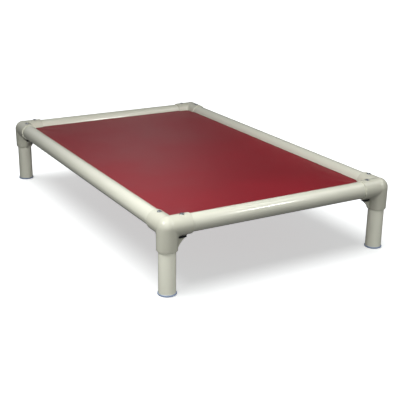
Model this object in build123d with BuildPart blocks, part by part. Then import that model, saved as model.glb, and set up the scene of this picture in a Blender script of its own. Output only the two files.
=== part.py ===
from build123d import *
import math
import os

# Raised pet bed: a rigid frame of plastic pipe in four three-way corner fittings,
# with a flat sheet of coated fabric held in slots along the inner sides of the rails.
# Millimetres, +Z up. The origin lies on the floor under the middle of the bed,
# +X runs along the long side and -Y is the front.

# ---- Driving dimensions -----------------------------------------------------------------
frame_length = 966.0        # between the axes of the two short rails
frame_width = 597.0         # between the axes of the two long rails
rail_axis_height = 159.5    # from the floor to the rail axes

rail_radius = 21.1
rail_wall = 3.6
leg_radius = 20.2
leg_wall = 3.4

# corner fitting
socket_wall = 3.0
arm_reach = 56.0            # from the corner axis to the lip of a rail socket
leg_reach = 55.0            # from the rail axes down to the lip of the leg socket
socket_stop = 24.0          # from the corner to the stop that a pipe meets
socket_clearance = 0.1
passage_radius = 16.0       # open bore between the three stops
hub_extra = 0.6             # the ball at the corner is a little fuller than the arms
hub_taper = 0.5             # the leg socket is this much slimmer at its lip than at the ball
junction_fillet = 9.0
lip_fillet = 2.0
web_thickness = 5.0
web_overhang = 2.0          # the web's outer end past the nut
web_setback = 1.0           # the same, below the nut
web_waist = (34.5, -40.5)   # the middle of the web's hollow lower edge
web_foot = (26.0, -53.0)    # where that edge runs into the leg socket

# bolts through the arms, from the top to a captive nut in a slot of the web underneath
bolt_offset = 37.0          # from the corner axis
bolt_radius = 2.5
bolt_head_radius = 5.0
bolt_head_height = 2.8
bolt_head_fillet = 1.1
hex_key_radius = 1.9
hex_key_depth = 1.2
hole_clearance = 0.1
seat_depth = 1.2
seat_margin = 0.5
nut_length = 20.0           # along the arm
nut_width = 12.0
nut_height = 3.6
nut_corner = 3.0
nut_fillet = 0.8
nut_gap = 2.8               # below the underside of the arm

# screw that holds the leg, on the inner diagonal of the leg socket
leg_screw_drop = 42.0       # below the rail axes
leg_screw_radius = 1.9
leg_screw_length = 14.0
leg_screw_head_radius = 4.6
leg_screw_head_height = 2.2
leg_screw_head_fillet = 1.2

# foot caps
foot_radius = 22.2
foot_thickness = 4.0
foot_fillet = 1.4
plug_depth = 18.0
plug_wall = 2.4

# fabric deck
fabric_thickness = 1.2
fabric_rise = 3.3           # middle of the fabric above the rail axes
fabric_gap = 0.4            # between the fabric's edge and the side of an arm
fabric_corner = 9.0
slot_width = 2.4
tab_margin = 1.0            # between a socket lip and the fabric that enters the slot
bead_radius = 6.3
bead_clearance = 0.1
bead_margin = 3.0           # between a socket lip and the end of a bead
bead_chamfer = 1.0

# ---- Values that follow -------------------------------------------------------------------
half_length = frame_length / 2
half_width = frame_width / 2
arm_radius = rail_radius + socket_wall
hub_radius = arm_radius + hub_extra
rail_bore = rail_radius - rail_wall
leg_bore = leg_radius - leg_wall
seat_height = arm_radius - seat_depth
nut_top = arm_radius + nut_gap
nut_bottom = nut_top + nut_height
leg_screw_seat = hub_radius - seat_depth
foot_bottom = -rail_axis_height
fabric_height = rail_axis_height + fabric_rise

# Each corner: its place, and the turn that points the arms of its fitting along the rails.
corners = {
    "front_left": (-half_length, -half_width, 0),
    "front_right": (half_length, -half_width, 90),
    "back_right": (half_length, half_width, 180),
    "back_left": (-half_length, half_width, 270),
}

# Each side: the middle of its rail, the turn that faces the rail's slot inwards, and the
# distance between the corners at its ends.
sides = {
    "front": (0, -half_width, 0, frame_length),
    "right": (half_length, 0, 90, frame_width),
    "back": (0, half_width, 180, frame_length),
    "left": (-half_length, 0, 270, frame_width),
}


def save(part, name):
    """Label a finished piece and write its STEP file."""
    part.label = name
    export_step(part, f"parts/{name}.step")


def save_at_corners(part, name):
    """Write a piece, modelled about the meeting point of a corner's axes, four times."""
    for corner, (x, y, turn) in corners.items():
        place = Location((x, y, rail_axis_height), (0, 0, turn))
        save(place * part, f"{name}_{corner}")


os.makedirs("parts", exist_ok=True)

# ---- Planes of a corner, about the point where its three axes meet ---------------------------
arm_planes = [
    Plane(origin=(0, 0, 0), x_dir=(0, 1, 0), z_dir=(1, 0, 0)),
    Plane(origin=(0, 0, 0), x_dir=(-1, 0, 0), z_dir=(0, 1, 0)),
]
web_planes = [
    Plane(origin=(0, 0, 0), x_dir=(1, 0, 0), z_dir=(0, -1, 0)),
    Plane(origin=(0, 0, 0), x_dir=(0, 1, 0), z_dir=(1, 0, 0)),
]
leg_plane = Plane(origin=(0, 0, 0), x_dir=(1, 0, 0), z_dir=(0, 0, -1))
screw_plane = Plane(origin=(0, 0, -leg_screw_drop), x_dir=(0, 0, 1), z_dir=(1, 1, 0))
bolt_places = [(bolt_offset, 0), (0, bolt_offset)]

# ---- Corner fitting -----------------------------------------------------------------------
with BuildPart() as fitting:
    # ball at the corner, with the leg socket running straight down from its middle
    with BuildSketch(Plane.XZ):
        with BuildLine():
            Polyline(
                (0, hub_radius),
                (0, -leg_reach),
                (hub_radius - hub_taper, -leg_reach),
                (hub_radius, 0),
            )
            RadiusArc((hub_radius, 0), (0, hub_radius), -hub_radius)
        make_face()
    revolve(axis=Axis.Z)

    # two arms for the rails, run softly into the ball and the socket
    for plane in arm_planes:
        with BuildSketch(plane):
            Circle(arm_radius)
        extrude(amount=arm_reach)
    junctions = fitting.edges().filter_by(
        lambda edge: edge.geom_type in (GeomType.BSPLINE, GeomType.ELLIPSE)
    )
    fillet(junctions, junction_fillet)
    lips = [
        fitting.faces().sort_by(Axis.X)[-1],
        fitting.faces().sort_by(Axis.Y)[-1],
        fitting.faces().sort_by(Axis.Z)[0],
    ]
    fillet([edge for lip in lips for edge in lip.edges()], lip_fillet)

    # a web under each arm braces it to the leg socket, with a slot that is open outwards
    web_root = (leg_radius + hub_radius) / 2
    web_top = -rail_radius - socket_wall / 2
    nut_end = bolt_offset + nut_length / 2
    for plane in web_planes:
        with BuildSketch(plane):
            with BuildLine():
                Polyline(
                    web_foot,
                    (web_root, web_foot[1]),
                    (web_root, web_top),
                    (nut_end + web_overhang, web_top),
                    (nut_end + web_overhang, -nut_top),
                    (nut_end - web_setback, -nut_bottom),
                )
                ThreePointArc((nut_end - web_setback, -nut_bottom), web_waist, web_foot)
            make_face()
        extrude(amount=web_thickness / 2, both=True)
    nut_start = bolt_offset - nut_length / 2 - hole_clearance
    with BuildSketch(Plane.XY.offset(-nut_bottom - hole_clearance)):
        with Locations((nut_start, 0), Location((0, nut_start, 0), (0, 0, 90))):
            Rectangle(
                nut_length + 2 * web_overhang,
                nut_width + 2 * hole_clearance,
                align=(Align.MIN, Align.CENTER),
            )
    extrude(amount=nut_height + 2 * hole_clearance, mode=Mode.SUBTRACT)

    # sockets, their stops and the passage between them
    for plane, radius in zip(arm_planes + [leg_plane], [rail_radius, rail_radius, leg_radius]):
        with BuildSketch(plane.offset(socket_stop)):
            Circle(radius + socket_clearance)
        extrude(amount=arm_reach, mode=Mode.SUBTRACT)
        with BuildSketch(plane):
            Circle(passage_radius)
        extrude(amount=arm_reach, mode=Mode.SUBTRACT)

    # bolt holes and leg screw hole, each with a flat seat for its head
    with BuildSketch(Plane.XY.offset(-nut_bottom)):
        with Locations(*bolt_places):
            Circle(bolt_radius + hole_clearance)
    extrude(amount=2 * nut_bottom, mode=Mode.SUBTRACT)
    with BuildSketch(Plane.XY.offset(seat_height)):
        with Locations(*bolt_places):
            Circle(bolt_head_radius + seat_margin)
    extrude(amount=nut_bottom, mode=Mode.SUBTRACT)
    with BuildSketch(screw_plane.offset(passage_radius)):
        Circle(leg_screw_radius + hole_clearance)
    extrude(amount=arm_reach, mode=Mode.SUBTRACT)
    with BuildSketch(screw_plane.offset(leg_screw_seat)):
        Circle(leg_screw_head_radius + seat_margin)
    extrude(amount=arm_reach, mode=Mode.SUBTRACT)
save_at_corners(fitting.part, "corner_fitting")

# ---- Leg ------------------------------------------------------------------------------------
with BuildPart() as leg:
    with BuildSketch(Plane.XY.offset(foot_bottom + foot_thickness)):
        Circle(leg_radius)
        Circle(leg_bore, mode=Mode.SUBTRACT)
    extrude(amount=rail_axis_height - socket_stop - foot_thickness)
    with BuildSketch(screw_plane):
        Circle(leg_screw_radius + hole_clearance)
    extrude(amount=hub_radius, mode=Mode.SUBTRACT)
save_at_corners(leg.part, "leg")

# ---- Foot cap: a flange on the floor and a hollow plug up the leg ------------------------------
plug_radius = leg_bore - socket_clearance
with BuildPart() as foot:
    with BuildSketch(Plane.XY.offset(foot_bottom)):
        Circle(foot_radius)
    extrude(amount=foot_thickness)
    fillet(foot.edges().filter_by(GeomType.CIRCLE), foot_fillet)
    with BuildSketch(Plane.XY.offset(foot_bottom + foot_thickness)):
        Circle(plug_radius)
        Circle(plug_radius - plug_wall, mode=Mode.SUBTRACT)
    extrude(amount=plug_depth)
save_at_corners(foot.part, "foot_cap")

# ---- Bolts, one down through each arm ------------------------------------------------------------
with BuildPart() as bolts:
    with BuildSketch(Plane.XY.offset(seat_height)):
        with Locations(*bolt_places):
            Circle(bolt_head_radius)
    extrude(amount=bolt_head_height)
    fillet(bolts.faces().group_by(Axis.Z)[-1].edges(), bolt_head_fillet)
    with BuildSketch(Plane.XY.offset(seat_height + bolt_head_height - hex_key_depth)):
        with Locations(*bolt_places):
            RegularPolygon(hex_key_radius, 6)
    extrude(amount=bolt_head_height, mode=Mode.SUBTRACT)
    with BuildSketch(Plane.XY.offset(-nut_bottom)):
        with Locations(*bolt_places):
            Circle(bolt_radius)
    extrude(amount=nut_bottom + seat_height)
save_at_corners(bolts.part, "rail_bolts")

# ---- Captive nuts, plates that lie in the slots of the webs ---------------------------------------
with BuildPart() as nuts:
    with BuildSketch(Plane.XY.offset(-nut_bottom)):
        with Locations((bolt_offset, 0), Location((0, bolt_offset, 0), (0, 0, 90))):
            RectangleRounded(nut_length, nut_width, nut_corner)
    extrude(amount=nut_height)
    fillet(nuts.faces().group_by(Axis.Z)[0].edges(), nut_fillet)
    fillet(nuts.faces().group_by(Axis.Z)[-1].edges(), nut_fillet)
    with BuildSketch(Plane.XY.offset(-nut_bottom)):
        with Locations(*bolt_places):
            Circle(bolt_radius + hole_clearance)
    extrude(amount=nut_height, mode=Mode.SUBTRACT)
save_at_corners(nuts.part, "captive_nuts")

# ---- Leg screw -------------------------------------------------------------------------------------
with BuildPart() as leg_screw:
    with BuildSketch(screw_plane.offset(leg_screw_seat)):
        Circle(leg_screw_head_radius)
    extrude(amount=leg_screw_head_height)
    head_top = leg_screw.faces().sort_by(Axis((0, 0, 0), (1, 1, 0)))[-1]
    fillet(head_top.edges(), leg_screw_head_fillet)
    with BuildSketch(screw_plane.offset(leg_screw_seat - leg_screw_length)):
        Circle(leg_screw_radius)
    extrude(amount=leg_screw_length)
save_at_corners(leg_screw.part, "leg_screw")

# ---- Rails and the beads in them, one set for each side -----------------------------------------------
# A bead is a stiff rod wrapped in the fabric's hem. It is caught behind the rail's slot,
# against the wall of the bore.
bead_reach = rail_bore - bead_radius - bead_clearance
bead_inset = math.sqrt(bead_reach**2 - fabric_rise**2)

for side, (x, y, turn, span) in sides.items():
    side_place = Location((x, y, rail_axis_height), (0, 0, turn))
    rail_length = span - 2 * socket_stop
    bead_length = span - 2 * (arm_reach + bead_margin)

    with BuildPart() as rail:
        with BuildSketch(Plane.YZ.offset(-rail_length / 2)):
            Circle(rail_radius)
            Circle(rail_bore, mode=Mode.SUBTRACT)
            with Locations((rail_radius, fabric_rise)):
                Rectangle(2 * rail_radius, slot_width, mode=Mode.SUBTRACT)
        extrude(amount=rail_length)
        with BuildSketch(Plane.XY.offset(-rail_radius)):
            with GridLocations(span - 2 * bolt_offset, 0, 2, 1):
                Circle(bolt_radius + hole_clearance)
        extrude(amount=2 * rail_radius, mode=Mode.SUBTRACT)
    save(side_place * rail.part, f"rail_{side}")

    with BuildPart() as bead:
        with BuildSketch(Plane.YZ.offset(-bead_length / 2)):
            with Locations((bead_inset, fabric_rise)):
                Circle(bead_radius)
        extrude(amount=bead_length)
        chamfer(bead.edges().filter_by(GeomType.CIRCLE), bead_chamfer)
    save(side_place * bead.part, f"edge_bead_{side}")

# ---- Fabric deck: one flat sheet, notched round the corner fittings --------------------------------------
arm_side = arm_radius + fabric_gap
bead_side = bead_inset + bead_radius
tab_end = arm_reach + tab_margin
with BuildPart() as deck:
    with BuildSketch(Plane.XY.offset(fabric_height - fabric_thickness / 2)):
        RectangleRounded(frame_length - 2 * arm_side, frame_width - 2 * arm_side, fabric_corner)
        Rectangle(frame_length - 2 * tab_end, frame_width - 2 * bead_side)
        Rectangle(frame_length - 2 * bead_side, frame_width - 2 * tab_end)
    extrude(amount=fabric_thickness)
save(deck.part, "fabric_deck")
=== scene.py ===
import math

import bmesh
import bpy
from mathutils import Matrix, Vector, noise


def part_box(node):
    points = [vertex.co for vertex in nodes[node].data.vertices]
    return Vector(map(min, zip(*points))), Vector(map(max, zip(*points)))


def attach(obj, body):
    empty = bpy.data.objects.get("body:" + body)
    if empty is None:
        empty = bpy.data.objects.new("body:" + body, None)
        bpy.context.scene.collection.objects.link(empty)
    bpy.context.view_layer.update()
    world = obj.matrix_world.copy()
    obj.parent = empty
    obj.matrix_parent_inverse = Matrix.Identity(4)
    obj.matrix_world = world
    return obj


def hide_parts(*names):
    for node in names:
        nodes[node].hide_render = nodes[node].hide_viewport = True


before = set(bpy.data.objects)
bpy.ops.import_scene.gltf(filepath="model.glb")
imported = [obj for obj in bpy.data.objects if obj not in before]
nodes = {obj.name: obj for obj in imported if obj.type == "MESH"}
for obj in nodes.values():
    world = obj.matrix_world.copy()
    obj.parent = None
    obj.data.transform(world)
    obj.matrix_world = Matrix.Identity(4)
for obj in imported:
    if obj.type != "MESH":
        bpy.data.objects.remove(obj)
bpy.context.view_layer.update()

# ---- Camera ---------------------------------------------------------------------------------
CAMERA_PLACE = (1.9927, -1.0869, 0.8159)
CAMERA_HEADING = 60.04          # where it stands, in degrees from -Y towards +X
CAMERA_PITCH = 19.22            # degrees that it looks down
CAMERA_ROLL = -0.74             # degrees
CAMERA_LENS = 75.35             # millimetres, as is the sensor's width
SENSOR_WIDTH = 36.0

# ---- Fabric ---------------------------------------------------------------------------------
FABRIC_SAG = 0.0025             # how far the middle hangs below the edges
CELL = 0.006                    # side of a cell of the fabric's mesh
TINY = 1e-6
HEM_WIDTH = 0.026
HEM_THICKNESS = 0.0012
HEM_LIFT = 0.00005              # between the hem and the sheet it is welded to
WELD_WIDTH = 0.007              # the pressed band along the middle of a hem
WELD_DEPTH = 0.0004
WELD_PRINT = 0.00015            # how far the weld shows on the deck's top
HUB_EXTRA = 0.0006              # the hub of a fitting is this much fuller than its arms
ARM_GAP = 0.0004                # between the fabric and an arm beside it
TAB_GAP = 0.001                 # between its tab in a slot and a socket's lip
CORNER_ROUND = 0.009            # radius of the fabric's corner beside a fitting
FADE = 0.03                     # the fabric lies flat at a rail and is free this far from it
CORNER_FOLD = 0.0006            # height of the tension lines at a corner
CORNER_REACH = 0.11             # how far they run into the deck
CORNER_LINES = 9                # waves of them in a full turn about the corner
CORNER_PHASE = 1.3              # radians between the waves of one corner and the next
CORNER_START = 0.05             # they reach their height this far from the corner
EDGE_RIPPLE = 0.0005            # height of the ripples along the edges
EDGE_REACH = 0.03               # how far they run into the deck
EDGE_RIPPLES = 22               # about this many in a metre
CLOTH_WAVE = 0.0009             # height of the slow unevenness of the whole cloth
CLOTH_WAVES = 4.0               # about this many in a metre
END_SEED, SIDE_SEED, CLOTH_SEED = 3.1, 8.7, 1.7     # each noise is read at its own place
END_LAYER, SIDE_LAYER = 0.0, 4.0                    # and at its own level

# ---- Stage ----------------------------------------------------------------------------------
# A light's turn is in degrees from the camera's heading, and its elevation is in degrees.
FLOOR_HALF = 20.0               # metres from the bed to the floor's edge
FLOOR_GLOW = 0.56               # keeps the shadow on the floor a light, even grey
WASH_STRENGTH = 2.4             # the light that draws the bed's shadow on the floor
WASH_ANGLE = 54.0               # degrees across
WASH_TURN = -90
WASH_ELEVATION = 80
WASH_DISTANCE = 3.0
WORLD_STRENGTH = 0.04
FLOOR_BOUNCE = 0.20             # light that the pale floor throws up
BACK_GLOW = 0.80                # light from a pale wall behind the bed, on the left
BACK_GLOW_TURN = 213
BACK_GLOW_ELEVATION = 20
WIDE, NARROW = 2.0, 12.0        # how sharply a glow fades away from its middle


# ---- Small helpers --------------------------------------------------------------------------
def add_object(name, mesh, body="root"):
    obj = bpy.data.objects.new(name, mesh)
    bpy.context.scene.collection.objects.link(obj)
    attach(obj, body)
    return obj


def smooth_shade(mesh):
    for polygon in mesh.polygons:
        polygon.use_smooth = True


class Graph:
    """A short way to build a node tree."""

    MIX_A, MIX_B, MIX_RESULT = 6, 7, 2      # a Mix node's sockets for colours

    def __init__(self, name):
        self.material = bpy.data.materials.new(name)
        self.material.use_nodes = True
        self.tree = self.material.node_tree
        self.shader = self.tree.nodes["Principled BSDF"]
        coords = self.tree.nodes.new("ShaderNodeTexCoord")
        self.position = coords.outputs["Object"]

    def node(self, kind, inputs=None, **settings):
        made = self.tree.nodes.new("ShaderNode" + kind)
        for key, value in settings.items():
            setattr(made, key, value)
        for key, value in (inputs or {}).items():
            self.feed(made.inputs[key], value)
        return made

    def feed(self, socket, value):
        if isinstance(value, bpy.types.NodeSocket):
            self.tree.links.new(value, socket)
        else:
            socket.default_value = value

    def stretched(self, scale):
        mapping = self.node("Mapping", {"Vector": self.position, "Scale": scale})
        return mapping.outputs["Vector"]

    def noise(self, scale, detail=3.0, vector=None, roughness=0.5):
        inputs = {"Vector": vector or self.position, "Scale": scale,
                  "Detail": detail, "Roughness": roughness}
        return self.node("TexNoise", inputs).outputs["Fac"]

    def ramp(self, value, low, high, out_low, out_high):
        inputs = {"Value": value, "From Min": low, "From Max": high,
                  "To Min": out_low, "To Max": out_high}
        return self.node("MapRange", inputs).outputs["Result"]

    def math(self, operation, a, b=0.0):
        made = self.node("Math", {0: a, 1: b}, operation=operation)
        return made.outputs["Value"]

    def mix_colour(self, factor, a, b):
        made = self.node("Mix", data_type="RGBA")
        self.feed(made.inputs["Factor"], factor)
        self.feed(made.inputs[self.MIX_A], a)
        self.feed(made.inputs[self.MIX_B], b)
        return made.outputs[self.MIX_RESULT]

    def bump(self, height, distance, strength=1.0, normal=None):
        inputs = {"Height": height, "Distance": distance, "Strength": strength}
        if normal is not None:
            inputs["Normal"] = normal
        return self.node("Bump", inputs).outputs["Normal"]

    def finish(self, **inputs):
        for key, value in inputs.items():
            self.feed(self.shader.inputs[key.replace("_", " ")], value)
        return self.material


def tint(colour, factor):
    """A colour made lighter or darker, as a node wants it."""
    return tuple(channel * factor for channel in colour) + (1.0,)


# ---- Materials ------------------------------------------------------------------------------
ALMOND_PIPE = (0.790, 0.795, 0.672)
ALMOND_FITTING = (0.700, 0.700, 0.583)
BURGUNDY = (0.262, 0.0121, 0.0213)
FOOT_BLUE = (0.26, 0.33, 0.47)
STEEL_DARK = (0.34, 0.36, 0.40)
STEEL_LIGHT = (0.50, 0.52, 0.55)
NUT_DARK = (0.010, 0.011, 0.014)
NUT_LIGHT = (0.022, 0.024, 0.028)
FLOOR_COLOUR = (0.885, 0.9, 0.9)
FLOOR_GLOW_COLOUR = (0.98, 1.0, 1.0)
PLASTIC_IOR = 1.5
FABRIC_IOR = 1.3                # low, so the skin mirrors the pale rails only faintly


def pipe_material(name, along):
    """Extruded plastic pipe, with faint draw lines along it and a few handling scuffs."""
    g = Graph(name)
    scale = [900.0, 900.0, 900.0]
    scale[along] = 4.0
    lines = g.noise(1.0, 2.0, g.stretched(tuple(scale)))
    clouds = g.noise(9.0, 3.0)
    scuffs = g.noise(60.0, 6.0, roughness=0.7)
    worn = g.ramp(scuffs, 0.60, 0.74, 0.0, 1.0)
    cloudy = g.ramp(clouds, 0.2, 0.8, 0.0, 1.0)
    base = g.mix_colour(cloudy, tint(ALMOND_PIPE, 0.985), tint(ALMOND_PIPE, 1.015))
    base = g.mix_colour(g.math("MULTIPLY", worn, 0.08), base, tint(ALMOND_PIPE, 0.86))
    rough = g.math("ADD", g.ramp(clouds, 0.2, 0.8, 0.13, 0.17), g.math("MULTIPLY", worn, 0.08))
    normal = g.bump(lines, 0.00003, 0.6)
    normal = g.bump(g.noise(420.0, 2.0), 0.00002, 0.5, normal)
    return g.finish(Base_Color=base, Roughness=rough, Normal=normal, IOR=PLASTIC_IOR)


def fitting_material():
    """Moulded plastic, satin, with a fine orange-peel skin."""
    g = Graph("almond_fitting")
    clouds = g.noise(14.0, 4.0)
    peel = g.noise(650.0, 2.0)
    scuffs = g.noise(75.0, 6.0, roughness=0.72)
    worn = g.ramp(scuffs, 0.60, 0.76, 0.0, 1.0)
    cloudy = g.ramp(clouds, 0.2, 0.8, 0.0, 1.0)
    base = g.mix_colour(cloudy, tint(ALMOND_FITTING, 0.98), tint(ALMOND_FITTING, 1.02))
    base = g.mix_colour(g.math("MULTIPLY", worn, 0.10), base, tint(ALMOND_FITTING, 0.84))
    rough = g.math("ADD", g.ramp(clouds, 0.2, 0.8, 0.18, 0.22), g.math("MULTIPLY", worn, 0.08))
    normal = g.bump(peel, 0.00004, 0.5)
    return g.finish(Base_Color=base, Roughness=rough, Normal=normal, IOR=PLASTIC_IOR)


def foot_material():
    """Soft blue-grey plastic with a fine matt grain."""
    g = Graph("foot_cap_plastic")
    clouds = g.noise(40.0, 4.0)
    base = g.mix_colour(clouds, tint(FOOT_BLUE, 0.85), tint(FOOT_BLUE, 1.12))
    rough = g.ramp(clouds, 0.3, 0.7, 0.38, 0.5)
    normal = g.bump(g.noise(900.0, 2.0), 0.00004, 0.6)
    return g.finish(Base_Color=base, Roughness=rough, Normal=normal, IOR=PLASTIC_IOR)


def steel_material():
    """Dark plated steel, a little patchy."""
    g = Graph("dark_bolt_steel")
    grain = g.noise(2600.0, 3.0)
    patches = g.noise(300.0, 3.0)
    base = g.mix_colour(patches, tint(STEEL_DARK, 1.0), tint(STEEL_LIGHT, 1.0))
    rough = g.ramp(grain, 0.3, 0.7, 0.28, 0.45)
    normal = g.bump(grain, 0.00002, 0.5)
    return g.finish(Base_Color=base, Metallic=1.0, Roughness=rough, Normal=normal)


def nut_material():
    """Black plastic with a coarse grain."""
    g = Graph("black_nut_plastic")
    grain = g.noise(800.0, 3.0)
    base = g.mix_colour(g.noise(90.0), tint(NUT_DARK, 1.0), tint(NUT_LIGHT, 1.0))
    rough = g.ramp(grain, 0.3, 0.7, 0.36, 0.5)
    return g.finish(Base_Color=base, Roughness=rough, Normal=g.bump(grain, 0.00005, 0.5))


def fabric_material(name, lighter=1.0):
    """Vinyl-coated scrim: a woven grid showing faintly through a satin skin."""
    g = Graph(name)
    threads = []
    for direction in "XY":
        line = g.node("TexWave", {"Vector": g.position, "Scale": 250.0, "Distortion": 0.6,
                                  "Detail": 2.0, "Detail Scale": 3.0},
                      wave_type="BANDS", bands_direction=direction)
        threads.append(line.outputs["Fac"])
    weave = g.math("MULTIPLY", threads[0], threads[1])
    clouds = g.noise(5.0, 4.0)
    specks = g.noise(420.0, 3.0)
    grain = g.noise(1400.0, 3.0)
    cloudy = g.ramp(clouds, 0.3, 0.7, 0.0, 1.0)
    base = g.mix_colour(cloudy, tint(BURGUNDY, 0.92 * lighter), tint(BURGUNDY, 1.08 * lighter))
    base = g.mix_colour(g.math("MULTIPLY", weave, 0.16), base, tint(BURGUNDY, 0.70 * lighter))
    base = g.mix_colour(g.ramp(specks, 0.35, 0.75, 0.0, 0.25), base, tint(BURGUNDY, 1.25 * lighter))
    rough = g.math("ADD", g.ramp(clouds, 0.3, 0.7, 0.40, 0.48), g.math("MULTIPLY", weave, 0.05))
    normal = g.bump(weave, 0.00010, 0.6)
    normal = g.bump(grain, 0.00004, 0.5, normal)
    return g.finish(Base_Color=base, Roughness=rough, Normal=normal, IOR=FABRIC_IOR)


def floor_material():
    """Pale matt paper that glows a little, so that it stays near white."""
    g = Graph("studio_floor")
    return g.finish(Base_Color=tint(FLOOR_COLOUR, 1.0), Roughness=1.0, Specular_IOR_Level=0.0,
                    Emission_Color=tint(FLOOR_GLOW_COLOUR, 1.0), Emission_Strength=FLOOR_GLOW)


ALONG_X, ALONG_Y, ALONG_Z = 0, 1, 2
pipe_x = pipe_material("almond_pipe_x", ALONG_X)
pipe_y = pipe_material("almond_pipe_y", ALONG_Y)
pipe_z = pipe_material("almond_pipe_z", ALONG_Z)
steel = steel_material()
fabric = fabric_material("burgundy_fabric")
hem_fabric = fabric_material("burgundy_hem", 0.9)
# the first of these that a node's name starts with gives its material
by_prefix = {
    "corner_fitting": fitting_material(),
    "rail_front": pipe_x,
    "rail_back": pipe_x,
    "rail_left": pipe_y,
    "rail_right": pipe_y,
    "rail_bolts": steel,
    "leg_screw": steel,
    "leg_": pipe_z,
    "foot_cap": foot_material(),
    "captive_nuts": nut_material(),
    "edge_bead": fabric,
    "fabric_deck": fabric,
}
for name, obj in nodes.items():
    for prefix, material in by_prefix.items():
        if name.startswith(prefix):
            for material_slot in obj.material_slots:
                material_slot.material = material
            break

# ---- Fabric deck ----------------------------------------------------------------------------
deck_low, deck_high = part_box("fabric_deck")
fitting_low, fitting_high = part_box("corner_fitting_back_right")
long_low, long_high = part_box("rail_back")
short_low, short_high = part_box("rail_right")
thickness = deck_high.z - deck_low.z
rail_axis_x = (short_low.x + short_high.x) / 2
rail_axis_y = (long_low.y + long_high.y) / 2
arm_radius = fitting_high.x - rail_axis_x - HUB_EXTRA
slot_x = rail_axis_x - (short_high.z - short_low.z) / 2      # where the fabric meets a rail
slot_y = rail_axis_y - (long_high.z - long_low.z) / 2
side_x = rail_axis_x - arm_radius - ARM_GAP                  # where it runs beside an arm
side_y = rail_axis_y - arm_radius - ARM_GAP
tab_x = fitting_low.x - TAB_GAP                              # where it may enter the slot
tab_y = fitting_low.y - TAB_GAP


def spread(stops, step):
    """Values from the first stop to the last, through each stop, about a step apart."""
    values = [stops[0]]
    for start, end in zip(stops, stops[1:]):
        count = max(1, round((end - start) / step))
        values += [start + (end - start) * k / count for k in range(1, count + 1)]
    return values


def rounded(x, y):
    """Moves a point of the square corner beside the fittings onto the corner's arc."""
    centre_x, centre_y = side_x - CORNER_ROUND, side_y - CORNER_ROUND
    dx, dy = abs(x) - centre_x, abs(y) - centre_y
    if dx <= 0 or dy <= 0 or abs(x) > side_x + TINY or abs(y) > side_y + TINY:
        return x, y
    pull = max(dx, dy) / math.hypot(dx, dy)
    return math.copysign(centre_x + dx * pull, x), math.copysign(centre_y + dy * pull, y)


def edge_fade(x, y):
    """0 where the fabric is held by a slot, rising to 1 in the open deck."""
    inset = min(slot_x - abs(x), slot_y - abs(y))
    t = min(max(inset / FADE, 0.0), 1.0)
    return t * t * (3 - 2 * t)


def deck_height(x, y):
    """How far the fabric's middle lies from the flat at a point."""
    bowl = (1 - min(1, (x / slot_x) ** 2)) * (1 - min(1, (y / slot_y) ** 2))
    height = -FABRIC_SAG * bowl
    # tension lines that fan out of each corner
    cx, cy = slot_x - abs(x), slot_y - abs(y)
    distance = math.hypot(cx, cy)
    angle = math.atan2(cy, cx)
    reach = math.exp(-(distance / CORNER_REACH) ** 2)
    corner = 4 * (x > 0) + 2 * (y > 0)
    lines = math.sin(CORNER_LINES * angle + CORNER_PHASE * corner)
    height += CORNER_FOLD * reach * lines * min(1, distance / CORNER_START)
    # shallow, broken ripples along the edges, as left by the pull of the hem
    near_x = math.exp(-(cx / EDGE_REACH) ** 2)
    near_y = math.exp(-(cy / EDGE_REACH) ** 2)
    wave_x = noise.noise(Vector((y * EDGE_RIPPLES, corner + END_SEED, END_LAYER)))
    wave_y = noise.noise(Vector((x * EDGE_RIPPLES, corner + SIDE_SEED, SIDE_LAYER)))
    height += EDGE_RIPPLE * (near_x * wave_x + near_y * wave_y)
    # slow unevenness of the coated cloth
    height += CLOTH_WAVE * noise.noise(Vector((x * CLOTH_WAVES, y * CLOTH_WAVES, CLOTH_SEED)))
    return height * edge_fade(x, y) - WELD_PRINT * weld_band(x, y)


def weld_band(x, y):
    """1 in the middle of the weld that runs round the deck, falling to 0 at its sides."""
    inset = min(side_x - abs(x), side_y - abs(y))
    t = min(abs(inset - HEM_WIDTH / 2) / (WELD_WIDTH / 2), 1.0)
    return (1 - t * t) ** 2


def has_fabric(x, y):
    """Whether the sheet covers a point: it enters the slots only between the fittings."""
    beyond_x, beyond_y = abs(x) > side_x + TINY, abs(y) > side_y + TINY
    if beyond_x:
        return abs(y) <= tab_y + TINY
    return not beyond_y or abs(x) <= tab_x + TINY


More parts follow.
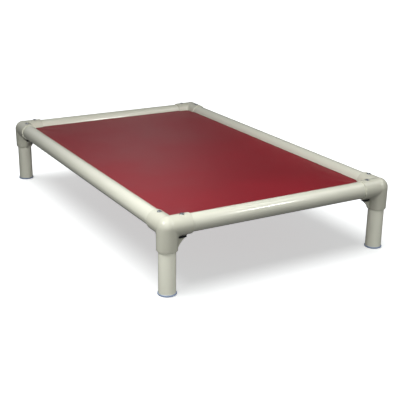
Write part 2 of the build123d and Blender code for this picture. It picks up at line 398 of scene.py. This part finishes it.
def deck_mesh():
    """The sheet as a top and a bottom grid, closed along its outline."""
    xs = spread([-deck_high.x, -slot_x, -side_x, -tab_x, tab_x, side_x, slot_x, deck_high.x], CELL)
    ys = spread([-deck_high.y, -slot_y, -side_y, -tab_y, tab_y, side_y, slot_y, deck_high.y], CELL)
    middle = (deck_low.z + deck_high.z) / 2
    made = bmesh.new()
    grids = []
    for offset in (thickness / 2, -thickness / 2):
        grid = {}
        for i, x in enumerate(xs):
            for j, y in enumerate(ys):
                if not has_fabric(x, y):
                    continue
                px, py = rounded(x, y)
                grid[i, j] = made.verts.new((px, py, middle + deck_height(px, py) + offset))
        grids.append(grid)
    top, bottom = grids
    cells = set()
    for i in range(len(xs) - 1):
        for j in range(len(ys) - 1):
            ring = [(i, j), (i + 1, j), (i + 1, j + 1), (i, j + 1)]
            if all(key in top for key in ring):
                cells.add((i, j))
                made.faces.new([top[key] for key in ring])
                made.faces.new([bottom[key] for key in reversed(ring)])
    for i, j in cells:
        edges = {
            (i, j - 1): ((i, j), (i + 1, j)),
            (i + 1, j): ((i + 1, j), (i + 1, j + 1)),
            (i, j + 1): ((i + 1, j + 1), (i, j + 1)),
            (i - 1, j): ((i, j + 1), (i, j)),
        }
        for beyond, (a, b) in edges.items():
            if beyond not in cells:
                made.faces.new([top[b], top[a], bottom[a], bottom[b]])
    made.normal_update()
    loose = [v for v in made.verts if not v.link_faces]
    bmesh.ops.delete(made, geom=loose, context="VERTS")
    mesh = bpy.data.meshes.new("deck_sheet")
    made.to_mesh(mesh)
    made.free()
    smooth_shade(mesh)
    return mesh


deck = add_object("deck_sheet", deck_mesh())
deck.data.materials.append(fabric)
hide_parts("fabric_deck")


def hem_profile():
    """Across a hem from its outer edge inwards: (inset from that edge, depth below its top)."""
    middle = HEM_WIDTH / 2
    half = WELD_WIDTH / 2
    soft = HEM_THICKNESS / 3
    full, pressed = HEM_THICKNESS, HEM_THICKNESS - WELD_DEPTH
    lower = [(0.0, soft), (soft, full),
             (middle - half - soft, full), (middle - half, pressed),
             (middle + half, pressed), (middle + half + soft, full),
             (HEM_WIDTH - soft, full), (HEM_WIDTH, soft)]
    upper = [(HEM_WIDTH, 0.0), (middle + half, 0.0), (middle - half, 0.0), (0.0, 0.0)]
    return lower + upper


def hem_mesh(name, along_x, sign, reach):
    """A strip folded back under the deck along one side, running from -reach to reach."""
    under = (deck_low.z + deck_high.z) / 2 - thickness / 2 - HEM_LIFT
    outer = side_y if along_x else side_x
    made = bmesh.new()
    rings = []
    for run in spread([-reach, reach], CELL):
        ring = []
        for inset, depth in hem_profile():
            across = sign * (outer - inset)
            x, y = (run, across) if along_x else (across, run)
            ring.append(made.verts.new((x, y, under + deck_height(x, y) - depth)))
        rings.append(ring)
    for first, second in zip(rings, rings[1:]):
        for k in range(len(first)):
            n = (k + 1) % len(first)
            made.faces.new([first[k], second[k], second[n], first[n]])
    made.faces.new(rings[0])
    made.faces.new(list(reversed(rings[-1])))
    bmesh.ops.recalc_face_normals(made, faces=made.faces)
    mesh = bpy.data.meshes.new(name)
    made.to_mesh(mesh)
    made.free()
    mesh.materials.append(hem_fabric)
    return mesh


long_reach = side_x - CORNER_ROUND
short_reach = side_y - HEM_WIDTH - CORNER_ROUND
for side, along_x, sign, reach in (
    ("front", True, -1, long_reach), ("back", True, 1, long_reach),
    ("left", False, -1, short_reach), ("right", False, 1, short_reach),
):
    hem = add_object("hem_" + side, hem_mesh("hem_" + side, along_x, sign, reach))

# ---- Light and floor ------------------------------------------------------------------------
scene = bpy.context.scene
scene.view_settings.view_transform = "Standard"

floor_corners = [(x * FLOOR_HALF, y * FLOOR_HALF, 0) for x, y in ((-1, -1), (1, -1), (1, 1), (-1, 1))]
floor_mesh = bpy.data.meshes.new("studio_floor")
floor_mesh.from_pydata(floor_corners, [], [(0, 1, 2, 3)])
floor = bpy.data.objects.new("studio_floor", floor_mesh)
floor.visible_diffuse = False
floor.visible_glossy = False
scene.collection.objects.link(floor)
floor.data.materials.append(floor_material())


def heading_vector(heading, elevation):
    """Unit vector towards a compass heading (degrees from -Y towards +X) and a height."""
    a, e = math.radians(heading), math.radians(elevation)
    return Vector((math.sin(a) * math.cos(e), -math.cos(a) * math.cos(e), math.sin(e)))


def world_math(tree, kind, operation, first, second):
    """A step of the world's node tree, from another node's result and a constant."""
    made = tree.nodes.new(kind)
    made.operation = operation
    tree.links.new(first, made.inputs[0])
    made.inputs[1].default_value = second
    return made.outputs["Value"]


def world_glow(tree, direction, falloff, strength):
    """Strength of a wide soft patch of the surroundings, centred on a direction."""
    look = tree.nodes.new("ShaderNodeTexCoord").outputs["Generated"]
    facing = world_math(tree, "ShaderNodeVectorMath", "DOT_PRODUCT", look, direction)
    facing = world_math(tree, "ShaderNodeMath", "MAXIMUM", facing, 0.0)
    faded = world_math(tree, "ShaderNodeMath", "POWER", facing, falloff)
    return world_math(tree, "ShaderNodeMath", "MULTIPLY", faded, strength)


world = bpy.data.worlds.new("studio")
world.use_nodes = True
world_tree = world.node_tree
background = world_tree.nodes["Background"]
background.inputs["Color"].default_value = (1.0, 1.0, 1.0, 1.0)
glows = world_tree.nodes.new("ShaderNodeMath")      # adds the two glows
back_glow = heading_vector(CAMERA_HEADING + BACK_GLOW_TURN, BACK_GLOW_ELEVATION)
world_tree.links.new(world_glow(world_tree, (0, 0, -1), WIDE, FLOOR_BOUNCE), glows.inputs[0])
world_tree.links.new(world_glow(world_tree, back_glow, NARROW, BACK_GLOW), glows.inputs[1])
total = world_math(world_tree, "ShaderNodeMath", "ADD", glows.outputs["Value"], WORLD_STRENGTH)
world_tree.links.new(total, background.inputs["Strength"])
scene.world = world


def light_group(name, members, state):
    """Pieces that a light can be told to reach only, or to leave out."""
    group = bpy.data.collections.new(name)
    for member in members:
        group.objects.link(member)
    for linked in group.collection_objects:
        linked.light_linking.link_state = state
    return group


floor_only = light_group("floor_only", [floor], "INCLUDE")
all_but_floor = light_group("all_but_floor", [floor], "EXCLUDE")
legs = [obj for name, obj in nodes.items() if name.startswith(("leg_", "foot_cap"))]
legs_only = light_group("legs_only", legs, "INCLUDE")
deck_only = light_group("deck_only", [deck], "INCLUDE")


def add_light(name, kind, heading, elevation, distance, receivers):
    """A light that looks at the middle of the bed."""
    away = heading_vector(heading, elevation)
    light = bpy.data.lights.new(name, kind)
    obj = bpy.data.objects.new(name, light)
    obj.location = away * distance
    obj.rotation_mode = "QUATERNION"
    obj.rotation_quaternion = away.to_track_quat("Z", "Y")
    obj.light_linking.receiver_collection = receivers
    scene.collection.objects.link(obj)
    return light


# name, what it reaches, turn, elevation, distance from the bed, width, watts
SOFTBOXES = (
    ("key", all_but_floor, -30, 39, 1.25, 0.15, 5.0),
    ("top_front", all_but_floor, 0, 56, 1.7, 1.0, 8.6),
    ("low_front", all_but_floor, 0, 20, 1.7, 0.9, 2.8),
    ("fill_right", all_but_floor, 60, 34, 2.2, 0.28, 6.7),
    ("side_right", all_but_floor, 90, 50, 2.2, 1.1, 7.0),
    ("leg_fill_left", legs_only, -22, 6, 1.15, 0.5, 0.9),
    ("leg_fill_right", legs_only, 30, 8, 1.10, 0.5, 0.8),
    ("deck_haze", deck_only, 190, 34, 1.12, 0.5, 0.5),
)
for name, receivers, turn, elevation, distance, width, power in SOFTBOXES:
    light = add_light(name, "AREA", CAMERA_HEADING + turn, elevation, distance, receivers)
    light.shape = "DISK"
    light.size = width
    light.energy = power
wash = add_light("floor_wash", "SUN", CAMERA_HEADING + WASH_TURN, WASH_ELEVATION,
                 WASH_DISTANCE, floor_only)
wash.angle = math.radians(WASH_ANGLE)
wash.energy = WASH_STRENGTH

# ---- Camera ---------------------------------------------------------------------------------
heading, roll = math.radians(CAMERA_HEADING), math.radians(CAMERA_ROLL)
back = heading_vector(CAMERA_HEADING, CAMERA_PITCH)
right = Vector((math.cos(heading), math.sin(heading), 0.0))
up = back.cross(right)
turned_right = right * math.cos(roll) - up * math.sin(roll)
turned_up = up * math.cos(roll) + right * math.sin(roll)
camera = bpy.data.objects.new("camera", bpy.data.cameras.new("camera"))
camera.matrix_world = Matrix((turned_right, turned_up, back)).transposed().to_4x4()
camera.location = CAMERA_PLACE
camera.data.lens = CAMERA_LENS
camera.data.sensor_width = SENSOR_WIDTH
scene.collection.objects.link(camera)
scene.camera = camera
